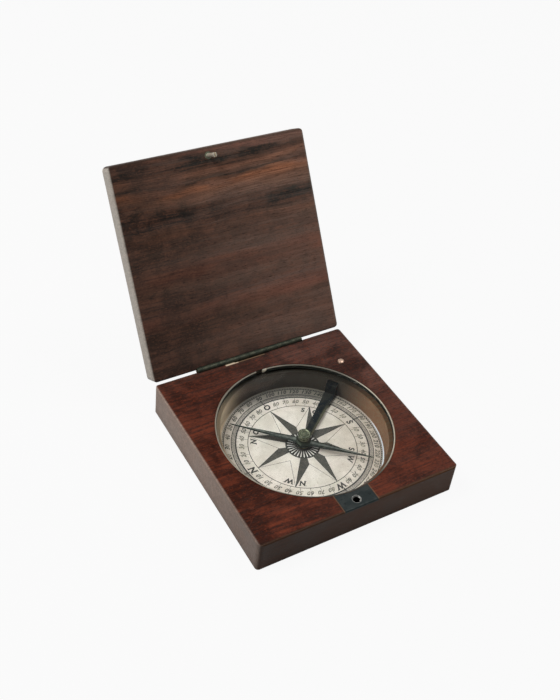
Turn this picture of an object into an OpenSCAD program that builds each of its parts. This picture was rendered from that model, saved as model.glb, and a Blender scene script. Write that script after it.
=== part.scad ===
// Square wooden pocket compass with a hinged lid and a needle lifter.
// Millimetres. The origin is the centre of the underside, the hinge is at +Y and
// the lid stands open on its stop.

/* [Case] */
// Width of the case along the hinge
case_w = 80; // [76:0.5:100]
// Depth of the case from front to back
case_d = 80; // [78:0.5:100]
// Height of the base block
base_h = 12.5; // [12:0.1:20]
// Thickness of the lid board
lid_t = 6; // [5:0.1:10]
// Radius of the upright corners
corner_r = 2; // [0.5:0.1:5]
// Radius of the eased long edges
edge_r = 0.5; // [0.1:0.05:1]
// Angle from closed at which the lid stands on its stop
lid_open = 122.4; // [100:0.1:140]
// Gap between the closed lid and the base
lid_gap = 0.05; // [0.02:0.01:0.2]

/* [Well, glass and ring] */
// Place of the well's centre along the hinge, from the middle of the case
well_x = 0.4; // [-1:0.1:1]
// Place of the well's centre from front to back, from the middle of the case
well_y = -0.8; // [-1:0.1:1]
// Wood left between the well and the nearest side of the case
well_margin = 9.5; // [9:0.1:11]
// Wood left under the well
well_floor = 1.7; // [1.5:0.1:2.4]
// Width of the ledge that the glass lies on
ledge_w = 2; // [1.6:0.1:2.4]
// Thickness of the cover glass
glass_t = 1.5; // [1:0.1:1.8]
// Height of the split ring
ring_h = 1.55; // [1:0.05:1.8]
// Width of the ring's top face
ring_w = 0.6; // [0.5:0.05:1.2]
// Depth of the ring's top face below the top of the base
ring_inset = 0.05; // [0.02:0.01:0.2]
// Gap between the two ends of the ring
ring_gap = 2.8; // [1:0.1:6]
// Place of the ring's gap along the hinge, from the middle
ring_gap_x = -1.4; // [-6:0.1:6]
// Clearance around the glass and around the ring
seat_clear = 0.1; // [0.02:0.01:0.2]

/* [Card and pivot] */
// Thickness of the printed card
card_t = 0.3; // [0.15:0.05:0.6]
// Gap between the card and the wall of the well
card_gap = 0.6; // [0.1:0.1:1.5]
// Radius of the pivot post
post_r = 0.6; // [0.4:0.05:0.7]
// Length of the post's tapered point
post_point_l = 1.7; // [1:0.1:1.8]
// Radius of the bush's flange
bush_flange_r = 2; // [1.6:0.1:2.6]
// Thickness of the bush's flange
bush_flange_t = 0.3; // [0.2:0.05:0.4]
// Radius of the bush's shank
bush_r = 1.3; // [1:0.05:1.5]
// Wood left under the bush
bush_floor = 0.7; // [0.5:0.1:1]

/* [Needle and cap] */
// Gap between the needle's north tip and the lever's upright
needle_clear = 1.1; // [0.6:0.1:5]
// Length by which the needle's south arm is the shorter one
needle_uneven = 1.8; // [0:0.1:4]
// Width of the needle beside its hub
needle_w = 2.8; // [1:0.1:3.2]
// Width of the needle's tips
needle_tip_w = 0.12; // [0.05:0.01:0.4]
// Thickness of the needle
needle_t = 0.4; // [0.2:0.05:0.6]
// Radius of the needle's hub
hub_r = 2.5; // [2.3:0.1:2.9]
// Direction of the needle, anticlockwise from +X
needle_ang = 137.3; // [-180:0.1:180]
// Radius of the cap's lower flange
flange_r = 3; // [2.8:0.1:3.6]
// Thickness of the cap's lower flange
flange_t = 0.2; // [0.2:0.05:0.5]
// Radius of the cap's neck inside the needle's hub
neck_r = 1.9; // [1.7:0.05:2]
// Radius of the cap's top bead
bead_r = 2.45; // [2.2:0.05:2.9]
// Radius of the jewel
jewel_r = 1.2; // [1.1:0.05:1.3]
// Height of the jewel
jewel_h = 1.1; // [0.8:0.05:1.2]
// Depth of the jewel's hollow cone
jewel_cup = 0.8; // [0.5:0.05:0.9]
// Metal left above the jewel
cap_roof = 0.6; // [0.4:0.05:0.8]
// Free play between the resting lever and the cap
cap_gap = 0.55; // [0.5:0.05:1]

/* [Needle lifter] */
// Direction of the lever, anticlockwise from +X
lever_ang = 38.4; // [25:0.1:55]
// Thickness of the lever strip
lever_t = 0.45; // [0.3:0.05:0.6]
// Height of the lever's underside above the card
lever_clear = 0.75; // [0.75:0.05:1]
// Width of the lever beside its inner ring
lever_w_in = 2.8; // [2.4:0.1:3.4]
// Width of the lever at the wall
lever_w_out = 4; // [3.8:0.1:5]
// Outer radius of the lever's inner ring
lever_ring_r = 2.5; // [2.2:0.1:2.7]
// Radius of the hole in the lever's inner ring
lever_hole_r = 1.3; // [1.1:0.05:1.5]
// Height that the lever's tail stands above its inner arm
lever_crank = 3.8; // [3:0.1:3.9]
// Gap between the lever's upright and the wall of the well
lever_wall_gap = 1.45; // [1:0.05:2]
// Length of the lever beyond the push pin
lever_tail = 1.3; // [1:0.1:2]
// Distance of the fulcrum from the lever's upright
fulcrum_inset = 5.55; // [5:0.05:7]
// Radius of the fulcrum pin
fulcrum_pin_r = 0.25; // [0.2:0.01:0.3]
// Half length of the fulcrum block along the lever
fulcrum_half = 0.7; // [0.5:0.05:1]
// Wood between the ring's seat and the push pin's centre
pin_wall = 5.5; // [3.5:0.1:5.8]
// Radius of the push pin
pin_r = 1.15; // [0.8:0.05:1.3]
// Height that the push pin stands above the base
pin_proud = 0.85; // [0.6:0.05:0.95]
// Height of the push pin's domed top
pin_dome = 0.3; // [0.1:0.05:0.5]
// Radius of the push pin's collar
collar_r = 1.55; // [1.4:0.05:2]
// Thickness of the push pin's collar
collar_t = 0.45; // [0.3:0.05:0.6]
// Radius of the push pin's rounded foot
foot_r = 0.5; // [0.4:0.05:0.6]

/* [Hinge] */
// Length of the hinge
hinge_l = 45; // [30:0.5:60]
// Distance of the hinge axis behind the back face
hinge_off = 0.4; // [0.3:0.05:0.6]
// Radius of the knuckles
knuckle_r = 1.15; // [1.05:0.05:1.4]
// Radius of the hinge pin
hinge_pin_r = 0.5; // [0.4:0.05:0.6]
// Height of the leaf on the base
leaf_h_base = 8; // [6:0.1:9]
// Wood left above the leaf on the lid
leaf_margin_lid = 1.2; // [0.8:0.1:1.5]
// Reach of the stop heel beyond the knuckle
heel_reach = 0.8; // [0.5:0.05:1]
// Thickness of the stop heel
heel_t = 0.73; // [0.5:0.01:1]
// Gap around the middle knuckle in the base
knuckle_gap = 0.4; // [0.15:0.05:0.5]
// Number of screws in each leaf
screw_count = 3; // [2:1:5]
// Length of the leaf screws
screw_l = 4.5; // [3:0.1:5]
// Radius of the screw heads
screw_head_r = 1.1; // [0.9:0.05:1.2]
// Radius of the screw shanks
screw_r = 0.55; // [0.4:0.05:0.7]

/* [Catch] */
// Place of the catch along the front edge, from the middle
catch_x = -0.95; // [-4:0.01:4]
// Distance of the catch from the front face
catch_inset = 3.2; // [3:0.1:4]
// Width of the strike plate
plate_w = 13.4; // [10:0.1:20]
// Place of the strike plate's middle along the front edge
plate_x = -0.7; // [-2:0.1:2]
// Thickness of the strike plate
plate_t = 0.8; // [0.5:0.05:1.2]
// Radius of the hole in the strike plate
plate_hole_r = 1.2; // [1.1:0.05:1.3]
// Width of the hole's bright bevel
plate_bevel = 0.35; // [0.3:0.05:0.6]
// Radius of the strike plate's pins
plate_pin_r = 0.4; // [0.3:0.05:0.6]
// Length of the strike plate's pins
plate_pin_l = 3; // [2:0.1:4]
// Radius of the plate at the stud's root
rosette_r = 1.4; // [1.3:0.05:2]
// Thickness of the plate at the stud's root
rosette_t = 0.4; // [0.2:0.05:0.8]
// Length of the stud below the lid
stud_l = 6.2; // [3:0.1:6.2]
// Clearance between the stud's head and its hole
stud_clear = 0.24; // [0.24:0.01:0.3]
// Width of the saw cut in the stud
stud_slit = 0.5; // [0.3:0.05:0.6]

/* [Hidden] */
$fn = 96;

// Overshoot of the cutting shapes
cut = 1;
// Gap of a fixed fit, of a running fit and of a fit that only has to stay clear
fixed_gap = 0.01;
run_gap = 0.05;
free_gap = 0.12;

// The well's radius and its levels, from its floor up; the wood under it keeps its thickness
well_r = min(case_w, case_d) / 2 - well_margin;
card_top = well_floor + card_t;
lever_z = card_top + lever_clear;
lever_top = lever_z + lever_t;
flange_z = lever_top + cap_gap;
needle_z = flange_z + flange_t;
needle_top = needle_z + needle_t;
glass_z = base_h - ring_inset - ring_h - glass_t;
glass_top = glass_z + glass_t;
seat_r = well_r + ledge_w;
card_r = well_r - card_gap;

// Push pin: its place, its travel and its levels
pin_place_r = seat_r + pin_wall;
pin_clear = 0.02;
pin_travel = pin_proud + pin_clear;
tail_top = lever_top + lever_crank;
foot_z = tail_top + pin_clear;
foot_sink = 0.2 * foot_r;
collar_z = foot_z + foot_r - foot_sink;
slot_top = collar_z + collar_t + run_gap;
pin_top = base_h + pin_proud;
pin_hole_gap = 0.08;

// Lever: the fulcrum's place, the tilt that the push pin gives it and the lift of the cap
lever_leg_r = well_r - lever_wall_gap;
fulcrum_r = lever_leg_r - fulcrum_inset;
fulcrum_rise = 0.55;
fulcrum_z = well_floor + fulcrum_rise;
fulcrum_pin_end = 0.2;
peg_r = 0.5;
peg_l = 1;
pin_arm = pin_place_r - fulcrum_r;
lever_rise = tail_top - fulcrum_z;
lever_tilt = asin(pin_travel / (pin_arm - lever_rise * pin_travel / pin_arm));
ring_arm = fulcrum_r + lever_ring_r;
lift_play = 0.04;
cap_lift = ring_arm * sin(lever_tilt) - cap_gap + lift_play;
needle_north = lever_leg_r - lever_t - needle_clear;
lever_end_r = pin_place_r + lever_tail;
slot_w = lever_w_out + 0.6;
slot_end_r = lever_end_r + 0.8;
ear_y = lever_half(fulcrum_r) - lever_t;
ear_half = 0.6;
ear_gap = 0.1;
ear_z = well_floor + ear_gap;
ear_slot = 0.35;

// Cap: clamped between the lever and the glass once the lid is shut
clamp_gap = 0.08;
cap_top = glass_z - cap_lift - clamp_gap;
jewel_top = cap_top - cap_roof;
jewel_z = jewel_top - jewel_h;
cup_top = jewel_z + jewel_cup;
post_top = cup_top - run_gap;
post_tip_r = 0.03;
cup_tip_r = 0.02;
jewel_rim = 0.15;
cup_over = 0.1;
cap_wall = 0.75;

// Hinge: the axis, the leaves and the screws
hinge_y = case_d / 2 + hinge_off;
leaf_t = knuckle_r - hinge_off - run_gap;
leaf_y = case_d / 2 - leaf_t;
leaf_h_lid = lid_t - leaf_margin_lid;
knuckle_l = hinge_l / 3;
screw_head_t = 0.5;
screw_point_l = 1;
screw_end = 6;
pin_end = 0.2;
screw_slot_w = 0.3;
screw_slot_t = 0.25;
screw_z_base = base_h - (knuckle_r + leaf_h_base) / 2;
screw_z_lid = base_h + lid_gap + (knuckle_r + leaf_h_lid) / 2;

// Catch: the hole's centre and the stud
catch_y = catch_inset - case_d / 2;
head_r = plate_hole_r - stud_clear;
stud_r = head_r - 0.15;
stud_hole_r = plate_hole_r + 0.3;
stud_hole_l = stud_l + 0.6;
stud_root_l = 2.5;
slit_stop = 1.2;
neck_l = 1.1;
plate_back = 0.85 * seat_r;
plate_pin_x = plate_w / 2 - 1.8;

function lever_half(r) =
    lever_w_in / 2 + (lever_w_out - lever_w_in) / 2 * (r - lever_ring_r) / (lever_leg_r - lever_ring_r);

// A rectangle with round corners
module rounded_plan(w, d, r) {
    square([w - 2 * r, d], center = true);
    square([w, d - 2 * r], center = true);
    for (x = [-1, 1], y = [-1, 1])
        translate([x * (w / 2 - r), y * (d / 2 - r)]) circle(r);
}

// A board with round upright corners and eased edges, standing on z = 0
module eased_board(h) {
    intersection() {
        linear_extrude(h) rounded_plan(case_w, case_d, corner_r);
        translate([0, 0, h / 2]) rotate([90, 0, 0])
            linear_extrude(case_d + 2 * cut, center = true) rounded_plan(case_w, h, edge_r);
        translate([0, 0, h / 2]) rotate([90, 0, 90])
            linear_extrude(case_w + 2 * cut, center = true) rounded_plan(case_d, h, edge_r);
    }
}

// Turns what is placed on the closed lid to where it stands open
module opened() {
    translate([0, hinge_y, base_h]) rotate([-lid_open, 0, 0])
        translate([0, -hinge_y, -base_h]) children();
}

// Places what is drawn around the Z axis so that it stands on the well's axis
module at_well(z = 0) {
    translate([well_x, well_y, z]) children();
}

// Places what is drawn along +X so that it lies along the lever
module along_lever(r = 0) {
    at_well() rotate([0, 0, lever_ang]) translate([r, 0, 0]) children();
}

// A round bar on the hinge axis
module hinge_bar(x, l, r) {
    translate([x, hinge_y, base_h]) rotate([0, 90, 0]) cylinder(h = l, r = r);
}

// One wood screw whose head is flush with the back face at height z
module leaf_screw(x, z, gap) {
    translate([x, case_d / 2, z]) rotate([90, 0, 0]) rotate_extrude()
        polygon([
            [0, 0], [screw_head_r + gap, 0], [screw_r + gap, screw_head_t],
            [screw_r + gap, screw_l - screw_point_l], [0, screw_l + gap]
        ]);
}

// The row of screws of one leaf
module leaf_screws(z, gap) {
    row = hinge_l - 2 * screw_end;
    for (i = [0 : screw_count - 1])
        leaf_screw(i * row / (screw_count - 1) - row / 2, z, gap);
}

// The same row as loose pieces, with the driver's slot in each head
module slotted_screws(z) {
    difference() {
        leaf_screws(z, 0);
        translate([-hinge_l / 2, case_d / 2 - screw_slot_t, z - screw_slot_w / 2])
            cube([hinge_l, cut, screw_slot_w]);
    }
}

// The strike plate's plain outline, from the ring's seat to the front face
module plate_blank(gap) {
    difference() {
        translate([plate_x - plate_w / 2 - gap, -case_d / 2 - cut, base_h - plate_t])
            cube([plate_w + 2 * gap, case_d / 2 + cut - plate_back, plate_t + cut]);
        at_well(base_h - plate_t - cut) cylinder(h = plate_t + 3 * cut, r = seat_r + run_gap);
    }
}

// The push pin's hole and the slot that the lever passes through
module lifter_cuts() {
    along_lever() {
        translate([well_r - cut, -slot_w / 2, card_top])
            cube([slot_end_r - well_r + cut, slot_w, slot_top - card_top]);
        translate([pin_place_r, 0, slot_top - cut]) cylinder(h = base_h, r = pin_r + pin_hole_gap);
    }
    along_lever(fulcrum_r)
        translate([0, 0, well_floor - peg_l]) cylinder(h = peg_l + cut, r = peg_r + fixed_gap);
}

module case_base() {
    color("sienna") difference() {
        eased_board(base_h);
        at_well(well_floor) cylinder(h = base_h, r = well_r);
        at_well(glass_z) cylinder(h = base_h, r = seat_r);
        at_well(bush_floor) cylinder(h = base_h, r = bush_r + fixed_gap);
        lifter_cuts();
        plate_blank(0);
        translate([catch_x, catch_y, base_h - stud_hole_l]) cylinder(h = base_h, r = stud_hole_r);
        for (x = [-1, 1])
            translate([plate_x + x * plate_pin_x, catch_y, base_h - plate_pin_l])
                cylinder(h = base_h, r = plate_pin_r + fixed_gap);
        translate([-hinge_l / 2 - run_gap, leaf_y, base_h - leaf_h_base - run_gap])
            cube([hinge_l + 2 * run_gap, leaf_t + cut, leaf_h_base + cut]);
        hinge_bar(-hinge_l / 2 - run_gap, hinge_l + 2 * run_gap, knuckle_r + free_gap);
        hinge_bar(-knuckle_l / 2, knuckle_l, knuckle_r + knuckle_gap);
        leaf_screws(screw_z_base, fixed_gap);
    }
}

module lid_board() {
    color("saddlebrown") opened() difference() {
        translate([0, 0, base_h + lid_gap]) eased_board(lid_t);
        translate([-hinge_l / 2 - run_gap, leaf_y, base_h])
            cube([hinge_l + 2 * run_gap, leaf_t + cut, lid_gap + leaf_h_lid + run_gap]);
        hinge_bar(-hinge_l / 2 - run_gap, hinge_l + 2 * run_gap, knuckle_r + free_gap);
        leaf_screws(screw_z_lid, fixed_gap);
        translate([catch_x, catch_y, base_h]) cylinder(h = lid_gap + rosette_t, r = rosette_r + fixed_gap);
        translate([catch_x, catch_y, base_h]) cylinder(h = lid_gap + rosette_t + stud_root_l, r = stud_r + fixed_gap);
    }
}

module hinge_leaf_base() {
    color("darkolivegreen") difference() {
        union() {
            translate([-hinge_l / 2, leaf_y, base_h - leaf_h_base]) cube([hinge_l, leaf_t, leaf_h_base]);
            hinge_bar(-hinge_l / 2, knuckle_l, knuckle_r);
            hinge_bar(hinge_l / 2 - knuckle_l, knuckle_l, knuckle_r);
        }
        hinge_bar(-knuckle_l / 2 - free_gap / 2, knuckle_l + free_gap, knuckle_r + knuckle_gap);
        hinge_bar(-hinge_l / 2 - cut, hinge_l + 2 * cut, hinge_pin_r + fixed_gap);
        leaf_screws(screw_z_base, fixed_gap);
    }
}

module hinge_leaf_lid() {
    heel_l = knuckle_l - free_gap - 1;
    color("darkolivegreen") difference() {
        union() {
            opened() difference() {
                translate([-hinge_l / 2, leaf_y, base_h]) cube([hinge_l, leaf_t, lid_gap + leaf_h_lid]);
                for (x = [-hinge_l / 2 - cut, knuckle_l / 2 - free_gap])
                    hinge_bar(x, knuckle_l + cut + free_gap, knuckle_r + free_gap);
                leaf_screws(screw_z_lid, fixed_gap);
            }
            hinge_bar(-knuckle_l / 2 + free_gap / 2, knuckle_l - free_gap, knuckle_r);
            translate([-heel_l / 2, hinge_y - hinge_off + pin_clear, base_h - knuckle_r - heel_reach])
                cube([heel_l, heel_t, heel_reach + (knuckle_r - hinge_pin_r) / 2]);
        }
        hinge_bar(-hinge_l / 2, hinge_l, hinge_pin_r + run_gap);
    }
}

module hinge_pin() {
    color("dimgray") hinge_bar(-hinge_l / 2 - pin_end, hinge_l + 2 * pin_end, hinge_pin_r);
}

module hinge_screws_base() {
    color("darkgoldenrod") slotted_screws(screw_z_base);
}

module hinge_screws_lid() {
    color("darkgoldenrod") opened() slotted_screws(screw_z_lid);
}

module bezel_ring() {
    outer = seat_r - seat_clear;
    inner = outer - ring_w;
    color("goldenrod") at_well() difference() {
        translate([0, 0, glass_top]) rotate_extrude()
            polygon([
                [inner, 0], [outer, 0], [outer, ring_h - 0.15], [outer - 0.15, ring_h],
                [inner + 0.25, ring_h], [inner, ring_h - 0.3]
            ]);
        translate([ring_gap_x - ring_gap / 2, inner - cut, glass_top - cut])
            cube([ring_gap, ring_w + 3 * cut, ring_h + 2 * cut]);
    }
}

module cover_glass() {
    color("lightcyan", 0.35) at_well(glass_z) cylinder(h = glass_t, r = seat_r - seat_clear);
}

module compass_card() {
    color("antiquewhite") difference() {
        at_well(well_floor) cylinder(h = card_t, r = card_r);
        at_well(well_floor - cut) cylinder(h = card_t + 2 * cut, r = bush_r + fixed_gap);
        along_lever(fulcrum_r)
            translate([-fulcrum_half - ear_slot, -lever_half(fulcrum_r) - ear_slot, well_floor - cut])
                cube([2 * (fulcrum_half + ear_slot), 2 * (lever_half(fulcrum_r) + ear_slot), card_t + 2 * cut]);
    }
}

module pivot_bush() {
    color("goldenrod") at_well() difference() {
        union() {
            translate([0, 0, bush_floor]) cylinder(h = card_top - bush_floor, r = bush_r);
            translate([0, 0, card_top]) cylinder(h = bush_flange_t, r = bush_flange_r);
        }
        translate([0, 0, bush_floor - cut]) cylinder(h = base_h, r = post_r + fixed_gap);
    }
}

module pivot_post() {
    color("silver") at_well() {
        translate([0, 0, bush_floor]) cylinder(h = post_top - post_point_l - bush_floor, r = post_r);
        translate([0, 0, post_top - post_point_l]) cylinder(h = post_point_l, r1 = post_r, r2 = post_tip_r);
    }
}

module cap_jewel() {
    color("darkred") at_well() difference() {
        translate([0, 0, jewel_z]) cylinder(h = jewel_h, r = jewel_r);
        translate([0, 0, jewel_z - cup_over])
            cylinder(h = jewel_cup + cup_over, r1 = jewel_r - jewel_rim, r2 = cup_tip_r);
    }
}

module needle_cap() {
    bore_r = jewel_r + run_gap;
    waist_r = bore_r + cap_wall;
    skirt_r = flange_r - 0.3;
    color("peru") at_well() rotate_extrude()
        polygon([
            [bore_r, flange_z], [flange_r, flange_z], [flange_r, needle_z], [neck_r, needle_z],
            [neck_r, needle_top], [skirt_r, needle_top], [skirt_r, needle_top + 0.2],
            [skirt_r - 0.25, needle_top + 0.35], [waist_r + 0.15, needle_top + 0.6],
            [waist_r, needle_top + 0.95], [waist_r, cap_top - 0.9], [waist_r + 0.15, cap_top - 0.75],
            [bead_r - 0.1, cap_top - 0.65], [bead_r, cap_top - 0.5], [bead_r, cap_top - 0.35],
            [bead_r - 0.15, cap_top - 0.2], [bead_r - 0.45, cap_top - 0.15], [bead_r - 0.7, cap_top - 0.3],
            [1.25, cap_top - 0.3], [1.05, cap_top - 0.05], [0.8, cap_top], [0, cap_top],
            [0, jewel_top + run_gap], [bore_r, jewel_top + run_gap]
        ]);
}

// One tapered arm of the needle
module needle_arm(l) {
    polygon([
        [0, -needle_w / 2], [hub_r, -needle_w / 2], [l, -needle_tip_w / 2],
        [l, needle_tip_w / 2], [hub_r, needle_w / 2], [0, needle_w / 2]
    ]);
}

module needle() {
    color("midnightblue") at_well(needle_z) rotate([0, 0, needle_ang]) difference() {
        linear_extrude(needle_t) union() {
            circle(hub_r);
            needle_arm(needle_north);
            rotate(180) needle_arm(needle_north - needle_uneven);
        }
        translate([0, 0, -cut]) cylinder(h = needle_t + 2 * cut, r = neck_r + fixed_gap);
    }
}

module lifter_lever() {
    half_in = lever_w_in / 2;
    half_out = lever_w_out / 2;
    color("darkslategray") along_lever() {
        difference() {
            union() {
                translate([0, 0, lever_z]) linear_extrude(lever_t) union() {
                    circle(lever_ring_r);
                    polygon([
                        [0, -half_in], [lever_ring_r, -half_in], [lever_leg_r, -half_out],
                        [lever_leg_r, half_out], [lever_ring_r, half_in], [0, half_in]
                    ]);
                }
                translate([lever_leg_r - lever_t, -half_out, lever_z])
                    cube([lever_t, lever_w_out, lever_t + lever_crank]);
                translate([lever_leg_r - lever_t, -half_out, tail_top - lever_t])
                    cube([pin_place_r - lever_leg_r + lever_t, lever_w_out, lever_t]);
                translate([pin_place_r, 0, tail_top - lever_t]) intersection() {
                    cylinder(h = lever_t, r = half_out);
                    translate([-half_out, -half_out, 0]) cube([half_out + lever_tail, lever_w_out, lever_t]);
                }
                for (y = [-1, 1])
                    translate([fulcrum_r - ear_half, y > 0 ? ear_y : -ear_y - lever_t, ear_z])
                        cube([2 * ear_half, lever_t, lever_z + lever_t / 2 - ear_z]);
            }
            translate([0, 0, lever_z - cut]) cylinder(h = lever_t + 2 * cut, r = lever_hole_r);
            translate([fulcrum_r, half_out + cut, fulcrum_z]) rotate([90, 0, 0])
                cylinder(h = lever_w_out + 2 * cut, r = fulcrum_pin_r + run_gap);
        }
    }
}

module lifter_fulcrum() {
    half = ear_y - run_gap;
    color("goldenrod") along_lever(fulcrum_r) difference() {
        union() {
            translate([-fulcrum_half, -half, well_floor])
                cube([2 * fulcrum_half, 2 * half, lever_z - ear_gap - well_floor]);
            translate([0, 0, well_floor - peg_l]) cylinder(h = peg_l + card_t, r = peg_r);
        }
        translate([0, half + cut, fulcrum_z]) rotate([90, 0, 0])
            cylinder(h = 2 * (half + cut), r = fulcrum_pin_r + fixed_gap);
    }
}

module fulcrum_pin() {
    half = lever_half(fulcrum_r) + fulcrum_pin_end;
    color("silver") along_lever(fulcrum_r)
        translate([0, half, fulcrum_z]) rotate([90, 0, 0]) cylinder(h = 2 * half, r = fulcrum_pin_r);
}

module lifter_pin() {
    dome_z = pin_top - pin_dome;
    dome_r = (pin_r * pin_r + pin_dome * pin_dome) / (2 * pin_dome);
    color("orange") along_lever(pin_place_r) {
        translate([0, 0, collar_z]) cylinder(h = dome_z - collar_z, r = pin_r);
        intersection() {
            translate([0, 0, dome_z]) cylinder(h = pin_dome, r = pin_r);
            translate([0, 0, pin_top - dome_r]) sphere(dome_r);
        }
        translate([0, 0, collar_z]) cylinder(h = collar_t, r = collar_r);
        translate([0, 0, foot_z + foot_r]) sphere(foot_r);
    }
}

module strike_plate() {
    color("darkslategray") difference() {
        intersection() {
            plate_blank(-run_gap);
            eased_board(base_h);
        }
        translate([catch_x, catch_y, 0]) cylinder(h = 2 * base_h, r = plate_hole_r);
        translate([catch_x, catch_y, base_h - plate_bevel])
            cylinder(h = plate_bevel, r1 = plate_hole_r - 0.01, r2 = plate_hole_r + plate_bevel);
        for (x = [-1, 1])
            translate([plate_x + x * plate_pin_x, catch_y, 0])
                cylinder(h = 2 * base_h, r = plate_pin_r + fixed_gap);
    }
}

module strike_plate_pins() {
    color("gray") for (x = [-1, 1])
        translate([plate_x + x * plate_pin_x, catch_y, base_h - plate_pin_l])
            cylinder(h = plate_pin_l, r = plate_pin_r);
}

module catch_plate() {
    color("olive") opened() difference() {
        translate([catch_x, catch_y, base_h + lid_gap]) cylinder(h = rosette_t, r = rosette_r);
        translate([catch_x, catch_y, base_h - cut]) cylinder(h = 3 * cut, r = stud_r + fixed_gap);
    }
}

module catch_stud() {
    stud_z = base_h + lid_gap - stud_l;
    root_top = base_h + lid_gap + rosette_t + stud_root_l;
    color("khaki") opened() translate([catch_x, catch_y, 0]) difference() {
        union() {
            translate([0, 0, stud_z + neck_l / 2]) cylinder(h = root_top - stud_z - neck_l / 2, r = stud_r);
            translate([0, 0, stud_z]) rotate_extrude()
                polygon([
                    [0, 0], [head_r - 0.45, 0], [head_r - 0.15, 0.15], [head_r, 0.45],
                    [head_r, 0.7], [stud_r, neck_l], [0, neck_l]
                ]);
        }
        translate([-stud_slit / 2, -cut - head_r, stud_z - cut])
            cube([stud_slit, 2 * (head_r + cut), cut + stud_l - slit_stop]);
    }
}

case_base();
lid_board();
hinge_leaf_base();
hinge_leaf_lid();
hinge_pin();
hinge_screws_base();
hinge_screws_lid();
bezel_ring();
cover_glass();
compass_card();
pivot_bush();
pivot_post();
cap_jewel();
needle_cap();
needle();
lifter_lever();
lifter_fulcrum();
fulcrum_pin();
lifter_pin();
strike_plate();
strike_plate_pins();
catch_plate();
catch_stud();
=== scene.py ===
"""Finishes, printed card, needle and studio for a square mahogany pocket compass.

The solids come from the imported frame. This script gives every one of them its finish,
cuts the bevelled needle, prints the card, and sets up the lamps and the camera.
Sizes are in millimetres unless a comment says otherwise, and colours are what a screen
shows, 0 to 255.
"""

import logging
import math
from dataclasses import dataclass
from enum import Enum
from functools import cached_property, partial, reduce

import bmesh
import bpy
from mathutils import Euler, Matrix, Vector

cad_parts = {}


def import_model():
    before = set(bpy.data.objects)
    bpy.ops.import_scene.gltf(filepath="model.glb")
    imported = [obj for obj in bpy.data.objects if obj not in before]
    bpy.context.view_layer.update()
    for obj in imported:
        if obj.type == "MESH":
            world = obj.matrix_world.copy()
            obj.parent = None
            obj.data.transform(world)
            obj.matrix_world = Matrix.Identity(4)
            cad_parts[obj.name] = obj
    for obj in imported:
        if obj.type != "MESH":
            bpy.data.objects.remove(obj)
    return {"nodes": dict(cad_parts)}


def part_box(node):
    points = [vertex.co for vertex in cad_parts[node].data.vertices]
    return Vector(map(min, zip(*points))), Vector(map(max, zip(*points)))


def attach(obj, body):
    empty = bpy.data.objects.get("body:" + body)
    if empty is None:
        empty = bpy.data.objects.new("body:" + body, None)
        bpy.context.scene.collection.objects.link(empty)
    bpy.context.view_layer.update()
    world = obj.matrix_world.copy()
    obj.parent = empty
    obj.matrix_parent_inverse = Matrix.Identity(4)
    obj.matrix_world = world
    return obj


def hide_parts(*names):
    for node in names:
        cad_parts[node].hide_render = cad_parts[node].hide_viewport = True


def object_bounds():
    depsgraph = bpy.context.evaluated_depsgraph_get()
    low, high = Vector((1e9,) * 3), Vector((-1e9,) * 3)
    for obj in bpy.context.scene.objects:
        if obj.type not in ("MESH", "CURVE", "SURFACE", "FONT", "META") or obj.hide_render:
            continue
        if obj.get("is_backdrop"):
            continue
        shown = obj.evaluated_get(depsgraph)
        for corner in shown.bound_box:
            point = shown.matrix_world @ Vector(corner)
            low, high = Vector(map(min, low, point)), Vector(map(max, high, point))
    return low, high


Triple = tuple[float, float, float]
Socket = bpy.types.NodeSocket
Tree = bpy.types.NodeTree
Mesh = bmesh.types.BMesh

LOG = logging.getLogger("compass")
MM = 0.001
BOARD = 80.0
ORIGIN = (0.0, 0.0, 0.0)
WELL = (0.4, -0.8, 0.0)
WELL_R = 32.55
HOLE = (-0.95, -36.8, 0.0)
HOLE_R = math.sqrt(3.6)
LID_TURN = math.radians(122.4)
SERIFS = {"N": ((0.0, 1.0), (0.0, 0.0), (1.0, 1.0)), "W": ((0.0, 1.0), (0.5, 1.0), (1.0, 1.0))}


def paint(colour: Triple | Socket) -> tuple | Socket:
    """Turns a colour as a screen shows it, 0 to 255, into the light that a shader uses.

    Args:
        colour: the screen's red, green and blue; a socket is left as it is.

    Returns:
        The same colour in linear light, with full alpha.
    """
    if isinstance(colour, Socket):
        return colour
    parts = [value / 255 for value in colour]
    light = [v / 12.92 if v <= 0.04045 else ((v + 0.055) / 1.055) ** 2.4 for v in parts]
    return (*light, 1.0)


def cleared(owner: bpy.types.ID) -> Tree:
    """Empties the node tree of a material or a world.

    Args:
        owner: the material or the world.

    Returns:
        Its empty tree.
    """
    owner.use_nodes = True
    owner.node_tree.nodes.clear()
    return owner.node_tree


def feed(socket: Socket, value: object) -> None:
    """Links a socket to an input, or writes a plain value into it.

    Args:
        socket: the input.
        value: the socket or the value.
    """
    if isinstance(value, Socket):
        value.id_data.links.new(value, socket)
    else:
        socket.default_value = value


def add(
    kind: str, feeds: dict | None = None, tree: Tree | None = None, **settings: object
) -> bpy.types.Node:
    """Adds one shader node.

    Args:
        kind: the node's type without its ShaderNode prefix.
        feeds: values or sockets, by the input's name or number.
        tree: the tree that it goes into, where none of the feeds is a socket.
        settings: the node's own properties.

    Returns:
        The new node.
    """
    feeds = feeds or {}
    tree = tree or next(v.id_data for v in feeds.values() if isinstance(v, Socket))
    node = tree.nodes.new("ShaderNode" + kind)
    for name, value in settings.items():
        setattr(node, name, value)
    for name, value in feeds.items():
        feed(node.inputs[name], value)
    return node


def work(step: str, *values: object) -> Socket:
    """Does one step of arithmetic on one to three values and returns the result."""
    return add("Math", dict(enumerate(values)), operation=step).outputs[0]


def times(*values: object) -> Socket:
    """Multiplies values, one after the other."""
    return reduce(partial(work, "MULTIPLY"), values)


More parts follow.
